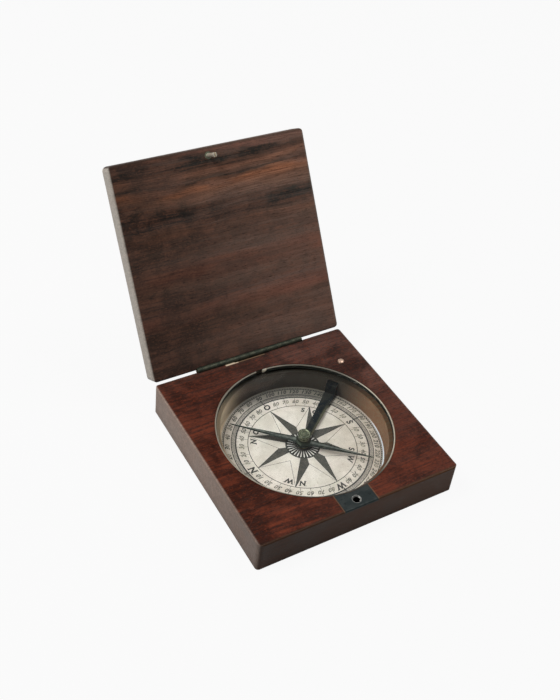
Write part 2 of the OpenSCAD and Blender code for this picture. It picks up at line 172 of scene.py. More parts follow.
def plus(*values: object) -> Socket:
    """Adds values up, one after the other."""
    return reduce(partial(work, "ADD"), values)


def less(start: object, take: object) -> Socket:
    """Takes the second value from the first."""
    return work("SUBTRACT", start, take)


def most(*values: object) -> Socket:
    """Keeps the greatest of the values."""
    return reduce(partial(work, "MAXIMUM"), values)


def least(*values: object) -> Socket:
    """Keeps the smallest of the values."""
    return reduce(partial(work, "MINIMUM"), values)


def between(
    value: Socket, low: object, high: object, start: object = 0.0, end: object = 1.0
) -> Socket:
    """Takes a value from the range low to high, smoothly, to the range start to end.

    Args:
        value, low, high: the value and its range.
        start, end: the range that it is taken to.

    Returns:
        The result's socket.
    """
    feeds = {"Value": value, "From Min": low, "From Max": high, "To Min": start, "To Max": end}
    return add("MapRange", feeds, interpolation_type="SMOOTHSTEP").outputs["Result"]


def spread(mask: Socket, start: float, end: float) -> Socket:
    """Takes a mask of 0 to 1 to the range start to end."""
    return between(mask, 0.0, 1.0, start, end)


def layers(colour: object, *overs: tuple) -> Socket:
    """Lays colours over each other.

    Args:
        colour: the first one, under the others.
        overs: the others in turn, each a share and a colour.

    Returns:
        The mixed colour's socket.
    """
    for share, over in overs:
        feeds = {0: share, 6: paint(colour), 7: paint(over)}
        colour = add("Mix", feeds, data_type="RGBA").outputs[2]
    return colour


def noise(
    at: Socket, scale: float, detail: float, rough: float = 0.5, bend: float = 0.0
) -> Socket:
    """Adds a cloud of noise.

    Args:
        at: the place that it is read at.
        scale, detail, rough, bend: its size, layers, roughness and distortion.

    Returns:
        The noise's value, 0 to 1.
    """
    feeds = {"Vector": at, "Scale": scale, "Detail": detail, "Roughness": rough}
    return add("TexNoise", {**feeds, "Distortion": bend}).outputs["Fac"]


def drawn(at: Socket, by: Triple, detail: float, rough: float = 0.5) -> Socket:
    """Adds noise that is drawn out: its place is scaled along each axis first."""
    scaled = add("VectorMath", {0: at, 1: by}, operation="MULTIPLY").outputs[0]
    return noise(scaled, 1.0, detail, rough)


def dim(start: object, by: object) -> Socket:
    """Scales a colour's light, or a place, and returns it."""
    value = start if isinstance(start, Socket) else paint(start)[:3]
    return add("VectorMath", {0: value, "Scale": by}, operation="SCALE").outputs[0]


class Graph:
    """A node tree whose patterns are read at one place in millimetres."""

    def __init__(self, place: Socket) -> None:
        """Keeps the place, its X, Y and Z, and the tree that they are in."""
        self.tree, self.place = place.id_data, place
        self.x, self.y, self.z = add("SeparateXYZ", {0: place}).outputs

    def toward(self, east: float, north: float) -> Socket:
        """Says how far the place lies in a direction, seen from above."""
        return plus(times(self.x, east), times(self.y, north))

    def away(self, point: Triple = ORIGIN) -> Socket:
        """Says how far the place lies from a point, seen from above."""
        x, y = less(self.x, point[0]), less(self.y, point[1])
        return work("SQRT", plus(times(x, x), times(y, y)))


class Effect(Graph):
    """A shader node group that is read at a place in millimetres."""

    def __init__(self, name: str, takes: dict[str, object]) -> None:
        """Starts the group.

        Args:
            name: the group's name.
            takes: the inputs after the place, with their default values.
        """
        tree = bpy.data.node_groups.new(name, "ShaderNodeTree")
        for label, start in {"Place": ORIGIN, **takes}.items():
            kind = "NodeSocketVector" if isinstance(start, tuple) else "NodeSocketFloat"
            socket = tree.interface.new_socket(label, in_out="INPUT", socket_type=kind)
            socket.default_value = start
        self.given = tree.nodes.new("NodeGroupInput").outputs
        super().__init__(self.given["Place"])

    def give(self, **results: Socket) -> Tree:
        """Joins the results to outputs of the group.

        Args:
            results: the results, by the outputs' names.

        Returns:
            The finished group.
        """
        for label in results:
            self.tree.interface.new_socket(label, in_out="OUTPUT", socket_type="NodeSocketFloat")
        sink = self.tree.nodes.new("NodeGroupOutput")
        for label, result in results.items():
            feed(sink.inputs[label], result)
        return self.tree


class Effects:
    """The effects that more than one finish uses, each a node group that is built once."""

    @cached_property
    def grain(self) -> Tree:
        """Builds timber grain that runs along X."""
        graph = Effect("timber_grain", {"Wander": 2.0, "Band": 0.16})
        slow = drawn(graph.place, (0.016, 0.05, 0.05), 2.0)
        shift = times(less(slow, 0.5), graph.given["Wander"])
        feeds = {0: graph.x, 1: plus(graph.y, shift), 2: graph.z}
        bent = add("CombineXYZ", feeds).outputs[0]
        bands = drawn(dim(bent, graph.given["Band"]), (0.07, 1.0, 0.6), 4.0, 0.62)
        streaks = drawn(bent, (0.035, 1.1, 0.9), 4.0, 0.6)
        lines = drawn(bent, (0.06, 3.6, 3.6), 3.0, 0.65)
        dark = between(drawn(bent, (0.30, 3.4, 3.4), 2.0), 0.60, 0.72)
        return graph.give(
            Bands=between(bands, 0.34, 0.66),
            Streaks=between(streaks, 0.3, 0.7),
            Lines=between(lines, 0.32, 0.68),
            Pores=dark,
            Height=less(times(streaks, 0.4), dark),
        )

    @cached_property
    def edges(self) -> Tree:
        """Builds a mask of a box's edges, read from the box's middle."""
        graph = Effect("edge_wear", {"Half": (40.0, 40.0, 6.0), "Reach": 1.2})
        away = add("VectorMath", {0: graph.place}, operation="ABSOLUTE").outputs[0]
        feeds = {0: graph.given["Half"], 1: away}
        inside = add("VectorMath", feeds, operation="SUBTRACT").outputs[0]
        a, b, c = add("SeparateXYZ", {0: inside}).outputs
        pair = most(least(a, b), least(most(a, b), c))
        rub = noise(graph.place, 0.35, 4.0, 0.65)
        reach = times(graph.given["Reach"], between(rub, 0.3, 0.75, 0.15, 1.8))
        near = between(plus(pair, least(a, b, c)), 0.0, reach)
        return graph.give(Mask=less(1.0, near))

    @cached_property
    def mottle(self) -> Tree:
        """Builds soft stains with specks and two directions of hairline scratches."""
        graph = Effect("stains_and_scratches", {"Size": 1.5})
        near = dim(graph.place, work("DIVIDE", 1.0, graph.given["Size"]))
        hairs = []
        for turn, thin in ((0.3, 0.5, 0.9), (0.25, 7.0, 7.0)), ((0.7, 0.2, 2.3), (0.3, 6.0, 6.0)):
            turned = add("Mapping", {0: graph.place, 2: turn, 3: thin}).outputs[0]
            hairs.append(between(noise(turned, 1.0, 1.0), 0.66, 0.74))
        return graph.give(
            Stains=between(noise(near, 1.0, 4.0, 0.6, 0.4), 0.32, 0.68),
            Specks=between(noise(near, 7.0, 2.0), 0.62, 0.74),
            Scratches=most(*hairs),
        )

    @cached_property
    def turning(self) -> Tree:
        """Builds the fine rings that a lathe leaves around the Z axis."""
        graph = Effect("lathe_rings", {"Pitch": 0.25})
        away, up = (work("DIVIDE", v, graph.given["Pitch"]) for v in (graph.away(), graph.z))
        line = add("CombineXYZ", {0: away, 1: up}).outputs[0]
        return graph.give(Height=noise(line, 1.0, 2.0, 0.6))

    @cached_property
    def damp(self) -> Tree:
        """Builds a mask of painted shadow on the card's back edge, where the well's wall shades it.
        """
        graph = Effect("damp_edge", {"Most": 0.75})
        back = between(graph.toward(0.31, 0.95), 17.0, 25.0, 0.0, graph.given["Most"])
        return graph.give(Mask=times(back, between(graph.away(), 24.0, 25.4)))


class Coat(Graph):
    """The graph of one material, with its shader and the shared effects."""

    def __init__(self, title: str, effects: Effects, middle: Triple, turn: float) -> None:
        """Makes the material, its shader and its place in millimetres.

        Args:
            title: the material's name.
            effects: the shared node groups.
            middle: the point that becomes the patterns' origin.
            turn: the turn around the X axis that takes the piece to its own upright frame.
        """
        self.material, self.effects = bpy.data.materials.new(title), effects
        tree = cleared(self.material)
        self.shader = add("BsdfPrincipled", tree=tree)
        self.sheet = add("OutputMaterial", {"Surface": self.shader.outputs[0]})
        shift = -(Euler((turn, 0.0, 0.0)).to_matrix() @ Vector(middle))
        at = add("TexCoord", tree=tree).outputs["Object"]
        feeds = {0: at, 1: tuple(shift), 2: (turn, 0.0, 0.0), 3: (1 / MM,) * 3}
        super().__init__(add("Mapping", feeds).outputs[0])

    def group(self, effect: str, **feeds: object) -> dict[str, Socket]:
        """Places an effect, read at the material's own place, and returns its outputs by name."""
        feeds, tree = {"Place": self.place, **feeds}, getattr(self.effects, effect)
        return {socket.name: socket for socket in add("Group", feeds, node_tree=tree).outputs}

    def finish(
        self, colour: Socket, rough: Socket, height: Socket, depth: float, strength: float
    ) -> None:
        """Gives the shader its colour, its roughness and its bump.

        Args:
            colour, rough: what varies over the surface.
            height: the bump's height, 0 to 1.
            depth: the height's full depth.
            strength: how much of it shows.
        """
        feeds = {"Strength": strength, "Distance": depth * MM, "Height": height}
        bump = add("Bump", feeds).outputs[0]
        for name, value in (("Base Color", colour), ("Roughness", rough), ("Normal", bump)):
            feed(self.shader.inputs[name], value)


class Finish:
    """What every finish shares: the steps that make a material of it."""

    title: str
    middle: Triple = ORIGIN
    turn: float = 0.0

    def build(self, effects: Effects) -> bpy.types.Material:
        """Makes the material with the shared effects."""
        self.brush(coat := Coat(self.title, effects, self.middle, self.turn))
        return coat.material

    def brush(self, coat: Coat) -> None:
        """Joins the nodes of the material; each finish has its own way."""
        raise NotImplementedError


class Board(Enum):
    """The two boards of the case, which are cut from different parts of the log."""

    BASE = "base"
    LID = "lid"


@dataclass(frozen=True)
class Mahogany(Finish):
    """French-polished mahogany with rubbed edges, painted glare and painted shade; the wall of the
    well is left raw.
    """

    title: str
    board: Board
    half: Triple
    tones: tuple
    plain: Triple
    cloud: float
    warm: Triple
    pore: Triple
    rubbed: Triple
    # pale colour of the painted glare on the board's ends
    bleached: Triple
    # the front face's own colour: painted light and shade
    front: Triple
    fleck: float
    band: float
    wander: float
    stain: float
    ends: tuple
    middle: Triple = ORIGIN
    turn: float = 0.0
    # how far the painted end glare dims toward the front and toward the bottom
    dusk: float = 1.0
    floor_side: float = 1.0
    calm: float = 0.0
    raw: Triple = (136, 111, 85)
    # painted light on the wood: the well's left wall and the line by the hinge
    sunlit: Triple = (224, 202, 174)
    # painted reflection: grey sheen of the polish
    haze: Triple = (92, 68, 61)
    # painted shade on the back of the well's wall
    soot: Triple = (50, 51, 46)
    # painted shade in the stud's hole
    hollow: Triple = (6.5892, 6.5892, 6.5892)
    seat: float = 6.2
    well_floor: float = -5.6
    inlay: tuple = (0.0, 0.0)

    def brush(self, coat: Coat) -> None:
        """Joins the tones, the grain, the wear, the painted glare and shade, and the base's raw
        wood.

        Args:
            coat: the material's graph.
        """
        x, y, deep = coat.x, coat.y, self.half[1]
        grain = coat.group("grain", Wander=self.wander, Band=self.band)
        mottle = coat.group("mottle", Size=self.stain)
        edges = coat.group("edges", Half=self.half, Reach=1.2)["Mask"]
        streaks, stains = grain["Streaks"], mottle["Stains"]
        wave = less(drawn(coat.place, (0.03, 0.09, 0.09), 3.0), 0.5)
        across = plus(y, times(wave, 7.0), times(streaks, 1.2))
        share = plus(work("DIVIDE", across, BOARD), 0.5)
        patch = drawn(coat.place, (0.045, 0.16, 0.16), 2.0)
        patch = between(patch, 0.38, 0.58, 0.75, 0.0)
        colour = layers(self._row(share), (patch, self.plain))
        bands, lines = grain["Bands"], grain["Lines"]
        shade = times(spread(bands, 0.64, 1.3), spread(lines, 0.74, 1.26))
        if self.calm:
            calm = between(y, -14.0, -2.0, 0.0, self.calm)
            shade = work("MULTIPLY_ADD", less(0.97, shade), calm, shade)
        shade = times(shade, spread(stains, 1.0 - self.cloud, 1.0 + self.cloud / 2))
        shade = times(shade, between(x, -42.0, 32.0, *self.ends))
        warmth = spread(stains, 0.05, 0.4)
        if self.board is Board.BASE:
            slope = plus(x, y)
            warmth = times(between(slope, -70.0, 70.0, 0.85, 0.12), spread(stains, 0.2, 1.0))
            # painted shade: darker toward the base's front-left corner
            shade = times(shade, between(slope, -76.0, -50.0, 0.75, 1.0))
            # painted reflection: a grey sheen toward the back-right of the base
            colour = layers(colour, (between(slope, 0.0, 64.0, 0.0, 0.6), self.haze))
        fine = drawn(coat.place, (0.9, 1.7, 1.7), 3.0, 0.7)
        # painted light and shade: the front face gets its own colour, darker at the left and
        # lighter at the right
        front = dim(self.front, between(x, -44.0, 44.0, 0.66, 1.3))
        colour = layers(
            dim(colour, shade),
            (times(streaks, warmth), self.warm),
            (times(grain["Pores"], 0.7), self.pore),
            (between(fine, 0.52, 0.7, 0.0, self.fleck), self.warm),
            (between(fine, 0.47, 0.32, 0.0, self.fleck), self.pore),
            (times(edges, 0.5), self.rubbed),
            (between(y, 1.2 - deep, 0.3 - deep, 0.0, 0.85), front),
        )
        # painted reflection: pale glare on the board's two ends
        colour = self._end_grain(coat, colour, grain)
        rough = spread(stains, 0.32, 0.44)
        if self.board is Board.BASE:
            wall = times(
                work("LESS_THAN", coat.away(WELL), WELL_R),
                work("LESS_THAN", coat.z, self.seat),
                work("GREATER_THAN", coat.z, self.well_floor),
            )
            bare = layers(
                self.raw,
                (spread(streaks, 0.0, 0.4), self.warm),
                # painted light: the wall lightens toward its left side
                (between(x, 0.0, -24.0), self.sunlit),
                # painted shade: the wall darkens toward its back
                (between(coat.toward(0.37, 0.93), 11.0, 26.0, 0.0, 0.9), self.soot),
            )
            colour = layers(self._mortises(coat, colour), (wall, bare))
            rough = plus(rough, times(wall, 0.3))
        rough = plus(rough, times(edges, 0.1))
        dents = plus(grain["Height"], times(mottle["Scratches"], -0.5))
        coat.shader.inputs["Specular IOR Level"].default_value = 0.22
        coat.finish(colour, rough, dents, 0.05, 0.5)

    def _row(self, share: Socket) -> Socket:
        """Runs a place across the board through its row of tones.

        Args:
            share: 0 at the board's front edge and 1 at its back edge.

        Returns:
            The tone there.
        """
        node = add("ValToRGB", {0: share})
        row = node.color_ramp.elements
        while len(row) < len(self.tones):
            row.new(1.0)
        for stop, (at, colour) in zip(row, self.tones):
            stop.position, stop.color = (at + BOARD / 2) / BOARD, paint(colour)
        return node.outputs[0]

    def _end_grain(self, coat: Coat, colour: Socket, grain: dict) -> Socket:
        """Paints a pale glare onto the two ends of the board: painted reflection, strong at the
        left end and faint at the right.

        Args:
            coat: the material's graph.
            colour: the polished wood.
            grain: the timber grain.

        Returns:
            The colour with painted glare on its ends.
        """
        wide, _, high = self.half
        left = between(coat.x, 1.0 - wide, 0.2 - wide, 0.0, 0.82)
        right = between(coat.x, wide - 1.0, wide - 0.2, 0.0, 0.22)
        # the painted glare dims toward the front, toward the bottom and with the grain
        level = times(
            between(coat.y, -42.0, 6.0, self.dusk, 1.0),
            spread(grain["Lines"], 0.86, 1.12),
            spread(grain["Streaks"], 0.9, 1.08),
            between(coat.z, 1.0 - high, 5.0 - high, self.floor_side, 1.0),
        )
        return layers(colour, (most(left, right), dim(self.bleached, level)))

    def _mortises(self, coat: Coat, colour: Socket) -> Socket:
        """Paints a highlight line on the wood beside the hinge, bares the wood where the strike
        plate is let in, and paints the stud's hole dark.

        Args:
            coat: the material's graph.
            colour: the polished wood.

        Returns:
            The colour with the painted highlight by the hinge, the bare edges at the plate and the
            painted shade in the stud's hole.
        """
        x, y, high = coat.x, coat.y, self.half[2]
        top = between(coat.z, high - 0.4, high - 0.2)
        along = times(between(x, -11.6, -11.0), between(x, 5.0, 5.6, 1.0, 0.0))
        # painted highlight: a pale line on the wood along the hinge
        step = times(between(y, 38.35, 38.5), top, along)
        left, right = self.inlay
        out = most(less(left, x), less(x, right))
        line = times(between(out, 0.5, 0.3), between(out, -0.1, 0.0), top)
        line = times(line, between(y, -30.0, -32.0, 0.0, 0.5))
        # painted shade: the wood under the stud's hole is painted near black
        inside = work("LESS_THAN", coat.away(((left + right) / 2, HOLE[1], 0.0)), HOLE_R)
        return layers(
            colour,
            # painted highlight beside the hinge
            (times(step, 0.8), self.raw),
            (times(step, between(x, -5.8, -6.4)), self.sunlit),
            (line, self.raw),
            (inside, self.hollow),
        )


@dataclass(frozen=True)
class Metal(Finish):
    """Old metal: a bare colour under a tarnish that is thin where hands and pieces rub it; some
    pieces also carry painted shade and highlights.
    """

    title: str
    bare: Triple
    tarnish: Triple
    cover: float
    stain: float = 0.8
    rough: tuple = (0.3, 0.5)
    metallic: float = 1.0
    middle: Triple = ORIGIN
    turned: float = 0.0
    shine: tuple = ()
    vary: float = 0.45
    within: float = 0.0
    # painted shade: tarnish below this height
    foot: float = 0.0
    # painted shade: darker toward given directions, seen from above
    dull: tuple = ()
    # lighter band toward one side: wear and a painted highlight
    worn: tuple = ()
    # painted highlight: tarnish taken off around one point
    tip: tuple = ()

    def brush(self, coat: Coat) -> None:
        """Joins the nodes that say how much tarnish shows where, with painted shade and highlights.

        Args:
            coat: the material's graph.
        """
        mottle = coat.group("mottle", Size=self.stain)
        stains, scratches, half = mottle["Stains"], mottle["Scratches"], self.vary / 2
        share = spread(stains, self.cover - half, self.cover + half)
        share = plus(share, times(mottle["Specks"], 0.15))
        share = less(share, times(scratches, half))
        away = coat.away()
        height = times(stains, 0.4)
        if self.turned:
            rings = coat.group("turning", Pitch=self.turned)["Height"]
            height = plus(height, rings)
            share = plus(share, between(rings, 0.35, 0.65, -half, half))
        if self.shine:
            reach, soft = self.shine
            share = times(share, between(away, reach - soft, reach))
        if self.within:
            share = most(share, between(away, self.within, self.within - 0.1))
        # painted shade: more tarnish toward each given direction
        for east, north, start, end, full in self.dull:
            share = most(share, between(coat.toward(east, north), start, end, 0.0, full))
        # wear and painted highlight: the tarnish thins toward one side, near the well's middle
        if self.worn:
            east, north, start, end = self.worn
            lit = between(coat.toward(east, north), start, end)
            lit = times(lit, between(away, 26.0, 16.0))
            share = times(share, spread(lit, 1.0, 0.5))
        # painted highlight: the tarnish is taken off around one point, which shows bright
        if self.tip:
            spot = add("VectorMath", {0: coat.place, 1: self.tip}, operation="DISTANCE")
            share = times(share, between(spot.outputs["Value"], 0.9, 1.5))
        # painted shade: the piece darkens below a height
        if self.foot:
            share = most(share, between(coat.z, self.foot, self.foot - 0.4))
        share = least(most(share, 0.0), 1.0)
        coat.shader.inputs["Metallic"].default_value = self.metallic
        colour = layers(self.bare, (share, self.tarnish))
        height = less(height, scratches)
        coat.finish(colour, spread(share, *self.rough), height, 0.02, 0.6)


@dataclass(frozen=True)
class Agate(Finish):
    """The banded stone of the jewel."""

    title: str = "agate_jewel"
    light: Triple = (196, 120, 84)
    dark: Triple = (96, 38, 26)

    def brush(self, coat: Coat) -> None:
        """Joins the nodes: two colours of stone in the shared stains.

        Args:
            coat: the material's graph.
        """
        mottle = coat.group("mottle", Size=0.5)
        colour = layers(self.light, (mottle["Stains"], self.dark))
        rough = spread(mottle["Specks"], 0.12, 0.2)
        coat.finish(colour, rough, mottle["Stains"], 0.005, 0.3)


@dataclass(frozen=True)
class Paper(Finish):
    """The card's paper, yellowed and spotted with age, with a painted glint and a painted shadow at
    its rim.
    """

    title: str
    fresh: Triple
    aged: Triple
    spot: Triple
    ageing: float = 0.6
    # painted reflection: bluish-white glint on the card's rim
    margin: Triple = (232, 240, 246)
    # painted shadow on the card's back edge
    grime: Triple = (46, 47, 40)
    middle = WELL

    def brush(self, coat: Coat) -> None:
        """Joins the nodes: age and spots, the painted glint on the rim, the painted shadow on the
        back edge and the fibres.

        Args:
            coat: the material's graph.
        """
        x, y, away = coat.x, coat.y, coat.away()
        mottle = coat.group("mottle", Size=6.0)
        rim, side = between(away, 20.0, 31.0, 0.0, 0.4), between(x, 0.0, 28.0, 0.0, 0.6)
        age = plus(times(mottle["Stains"], self.ageing), plus(rim, side))
        # painted reflection: a bluish-white glint along the rim at the card's front right
        margin = times(between(away, 29.2, 29.5), between(y, 2.0, -4.0))
        margin = times(margin, between(x, 12.0, 20.0))
        fibre = drawn(coat.place, (3.0, 5.0, 3.0), 3.0, 0.6)
        colour = layers(
            self.fresh,
            (least(age, 1.0), self.aged),
            (times(mottle["Specks"], 0.35), self.spot),
            (margin, self.margin),
            # painted shadow: the card's back edge darkens
            (coat.group("damp", Most=0.76)["Mask"], self.grime),
            (between(fibre, 0.3, 0.7, 0.0, 0.12), self.spot),
        )
        coat.finish(colour, between(fibre, 0.2, 0.8, 0.62, 0.8), fibre, 0.02, 0.4)


@dataclass(frozen=True)
class Ink(Finish):
    """Printing ink; a hatched field lets some of the paper through between its lines, and a painted
    shadow darkens it at the card's back edge.
    """

    title: str
    ink: Triple
    worn: float
    hatch: float = 0.0
    paper: Triple = (214, 202, 180)
    # painted shadow over the ink at the card's back edge
    grime: Triple = (20, 21, 18)
    middle = WELL

    def brush(self, coat: Coat) -> None:
        """Joins the nodes: the ink, worn down to the paper in places, and the painted shadow on the
        back edge.

        Args:
            coat: the material's graph.
        """
        mottle = coat.group("mottle", Size=1.6)
        bare = times(mottle["Stains"], self.worn)
        if self.hatch:
            turns = times(coat.toward(1.0, 0.6), 2 * math.pi / self.hatch)
            bare = plus(bare, between(work("SINE", turns), 0.1, 0.9, 0.0, 0.15))
        bare = least(plus(bare, times(mottle["Specks"], 0.15)), 1.0)
        # painted shadow on the card's back edge
        damp = coat.group("damp", Most=0.9)["Mask"]
        colour = layers(self.ink, (bare, self.paper), (damp, self.grime))
        coat.finish(colour, spread(mottle["Stains"], 0.5, 0.7), mottle["Stains"], 0.01, 0.3)


@dataclass(frozen=True)
class Glass(Finish):
    """Old window glass with a slight tint and a few smears; light passes it to the card."""

    title: str = "cover_glass"
    tint: Triple = (245, 248, 247)
    clean: Triple = (250, 250, 250)
    index: float = 1.47

    def brush(self, coat: Coat) -> None:
        """Joins the nodes: plain glass that lets the lamps' rays through.

        Args:
            coat: the material's graph.
        """
        mottle = coat.group("mottle", Size=14.0)
        coat.shader.inputs["Transmission Weight"].default_value = 1.0
        coat.shader.inputs["IOR"].default_value = self.index
        colour = layers(self.tint, (mottle["Stains"], self.clean))
        rough = spread(mottle["Scratches"], 0.0, 0.05)
        coat.finish(colour, rough, mottle["Stains"], 0.01, 0.2)
        clear = add("BsdfTransparent", {"Color": paint(self.tint)}, coat.tree)
        shade = add("LightPath", tree=coat.tree).outputs["Is Shadow Ray"]
        feeds = {0: shade, 1: coat.shader.outputs[0], 2: clear.outputs[0]}
        feed(coat.sheet.inputs["Surface"], add("MixShader", feeds).outputs[0])


def dress(node: bpy.types.Object, *materials: bpy.types.Material, slot: str = "") -> None:
    """Gives a piece its finishes.

    Args:
        node: the piece.
        materials: its finishes, in the order of their numbers on its faces.
        slot: a slot name for a piece that the CAD doesn't have; it is not used.
    """
    if node.material_slots:
        node.material_slots[0].material = materials[0]
    else:
        for material in materials:
            node.data.materials.append(material)
    LOG.info("%s: %s", node.name, ", ".join(material.name for material in materials))


def stand(name: str, data: bpy.types.ID) -> bpy.types.Object:
    """Puts a new object in the scene.

    Args:
        name: the object's name.
        data: its mesh, lamp or camera.

    Returns:
        The new object.
    """
    made = bpy.data.objects.new(name, data)
    bpy.context.scene.collection.objects.link(made)
    return made


def shape(name: str, bm: Mesh) -> bpy.types.Object:
    """Turns a bmesh into an object in the scene.

    Args:
        name: the object's name.
        bm: its shape, which is freed.

    Returns:
        The new object.
    """
    mesh = bpy.data.meshes.new(name)
    bm.to_mesh(mesh)
    bm.free()
    return stand(name, mesh)


def piece(name: str, bm: Mesh, body: str) -> bpy.types.Object:
    """Turns a bmesh in millimetres into a piece that rides on a body.

    Args:
        name: the piece's name.
        bm: its shape, which is freed.
        body: the body that carries it.

    Returns:
        The new object.
    """
    bmesh.ops.scale(bm, vec=(MM, MM, MM), verts=bm.verts)
    made = shape(name, bm)
    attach(made, body)
    LOG.info("%s: %d faces on %s", name, len(made.data.polygons), body)
    return made


def spin(bm: Mesh, geom: list, steps: int) -> None:
    """Spins a section of a bmesh once around the Z axis."""
    round_z = {"cent": ORIGIN, "axis": (0, 0, 1), "angle": 2 * math.pi}
    bmesh.ops.spin(bm, geom=geom, steps=steps, use_merge=True, **round_z)


def strip(bm: Mesh, place: Matrix, length: float, width: float) -> None:
    """Lays a flat strip with its length along the X axis of a place."""
    size = Matrix.Diagonal((length, width, 1.0, 1.0))
    bmesh.ops.create_grid(bm, x_segments=1, y_segments=1, size=0.5, matrix=place @ size)


def polar(radius: float, angle: float) -> Vector:
    """Turns a radius and a direction in degrees into a place."""
    turn = math.radians(angle)
    return Vector((radius * math.cos(turn), radius * math.sin(turn), 0.0))


@dataclass
class Assembly:
    """What every sub-assembly shares: the CAD's pieces by name, and the effects."""

    nodes: dict
    effects: Effects

    def coat(self, finish: Finish, *names: str) -> None:
        """Makes a finish and gives it to pieces of the CAD.

        Args:
            finish: the finish.
            names: the pieces' names.
        """
        material = finish.build(self.effects)
        for name in names:
            dress(self.nodes[name], material)


@dataclass
class Case(Assembly):
    """The two boards of the case."""

    base_height: float = 12.5
    lid_height: float = 6.0
    lid_gap: float = 0.05
    hinge_y: float = 40.4

    def build(self) -> None:
        """Dresses the base and the lid."""
        half, low_half, thin_half = BOARD / 2, self.base_height / 2, self.lid_height / 2
        low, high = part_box("strike_plate")
        tones = (
            (-40, (64, 30, 20)), (-20, (72, 32, 20)), (5, (70, 33, 22)),
            (30, (80, 46, 37)), (40, (76, 50, 42)),
        )
        base = Mahogany(
            "mahogany_base", Board.BASE, (half, half, low_half), tones, middle=(0.0, 0.0, low_half),
            plain=(66, 36, 27), cloud=0.36, warm=(140, 64, 38), pore=(30, 19, 16),
            # the pale end colour is a painted glare, dimmed toward the front and the bottom
            rubbed=(70, 44, 34), bleached=(184, 162, 148), front=(80, 54, 34),
            fleck=0.48, band=0.1, wander=6.0, stain=11.0, ends=(1.0, 1.1),
            dusk=0.62, floor_side=0.84, inlay=(low[0] / MM, high[0] / MM),
        )
        self.coat(base, "case_base")
        hinge = Vector((0.0, self.hinge_y, self.base_height))
        shut = Vector((0.0, 0.0, self.base_height + self.lid_gap + thin_half))
        middle = hinge + Euler((-LID_TURN, 0.0, 0.0)).to_matrix() @ (shut - hinge)
        black, brown, red, orange = (48, 48, 45), (106, 86, 75), (126, 88, 76), (156, 102, 74)
        tones = (
            (-40, red), (-38, red), (-36.5, black), (-34, black), (-31.5, (130, 92, 74)),
            (-28.5, (66, 60, 54)), (-26.5, orange), (-24, (124, 90, 72)), (-20.5, brown),
            (-18.5, black), (-14.5, (66, 60, 56)), (-12.5, brown), (-10.5, (130, 94, 76)),
            (-8, brown), (0, (100, 82, 73)), (6, (128, 86, 72)), (9, brown),
            (15, (100, 80, 72)), (19, (130, 88, 74)), (23, (96, 76, 66)),
            (30, (106, 84, 74)), (36, (98, 80, 71)), (40, (80, 66, 60)),
        )
        lid = Mahogany(
            "mahogany_lid", Board.LID, (half, half, thin_half), tones,
            middle=tuple(middle), turn=LID_TURN,
            plain=(104, 82, 72), cloud=0.08, warm=(150, 100, 78), pore=(38, 32, 29),
            # the pale end colour is a painted glare
            rubbed=(92, 74, 66), bleached=(226, 216, 203), front=(96, 76, 66),
            fleck=0.34, band=0.22, wander=5.0, stain=7.0, ends=(0.5, 1.6), calm=0.5,
        )
        self.coat(lid, "lid_board")


@dataclass
class Hinge(Assembly):
    """The butt hinge, its pin and its screws."""

    def build(self) -> None:
        """Dresses the leaves, the pin and the screws."""
        leaf = Metal(
            "patinated_leaf", (132, 130, 108), (50, 60, 54), cover=0.74, stain=2.0,
            rough=(0.35, 0.6), metallic=0.85, vary=0.26,
        )
        self.coat(leaf, "hinge_leaf_base", "hinge_leaf_lid")
        pin = Metal("patinated_pin", (140, 120, 80), (50, 56, 44), cover=0.6)
        self.coat(pin, "hinge_pin")
        screw = Metal(
            "old_brass_screws", (176, 140, 84), (80, 70, 44), cover=0.5, stain=0.7,
            rough=(0.25, 0.5),
        )
        self.coat(screw, "hinge_screws_base", "hinge_screws_lid")


@dataclass
class Window(Assembly):
    """The glass over the well and the split ring that holds it."""

    def build(self) -> None:
        """Dresses the glass and the ring."""
        self.coat(Glass(), "cover_glass")
        # painted shade: the ring darkens on its left, front and back
        left = (-1.0, 0.1, -20.0, 2.0, 0.5)
        front = (-0.17, -0.98, 20.0, 28.0, 0.9)
        back = (0.64, 0.77, 24.0, 31.0, 0.7)
        ring = Metal(
            "brass_ring", (252, 242, 220), (50, 52, 47), cover=0.1, stain=6.0, rough=(0.3, 0.45),
            metallic=0.35, middle=WELL, turned=0.12, vary=0.16, within=31.95,
            # painted highlight at the ring's end beside its gap
            dull=(left, front, back), tip=(0.4, 32.0, 12.4),
        )
        self.coat(ring, "bezel_ring")


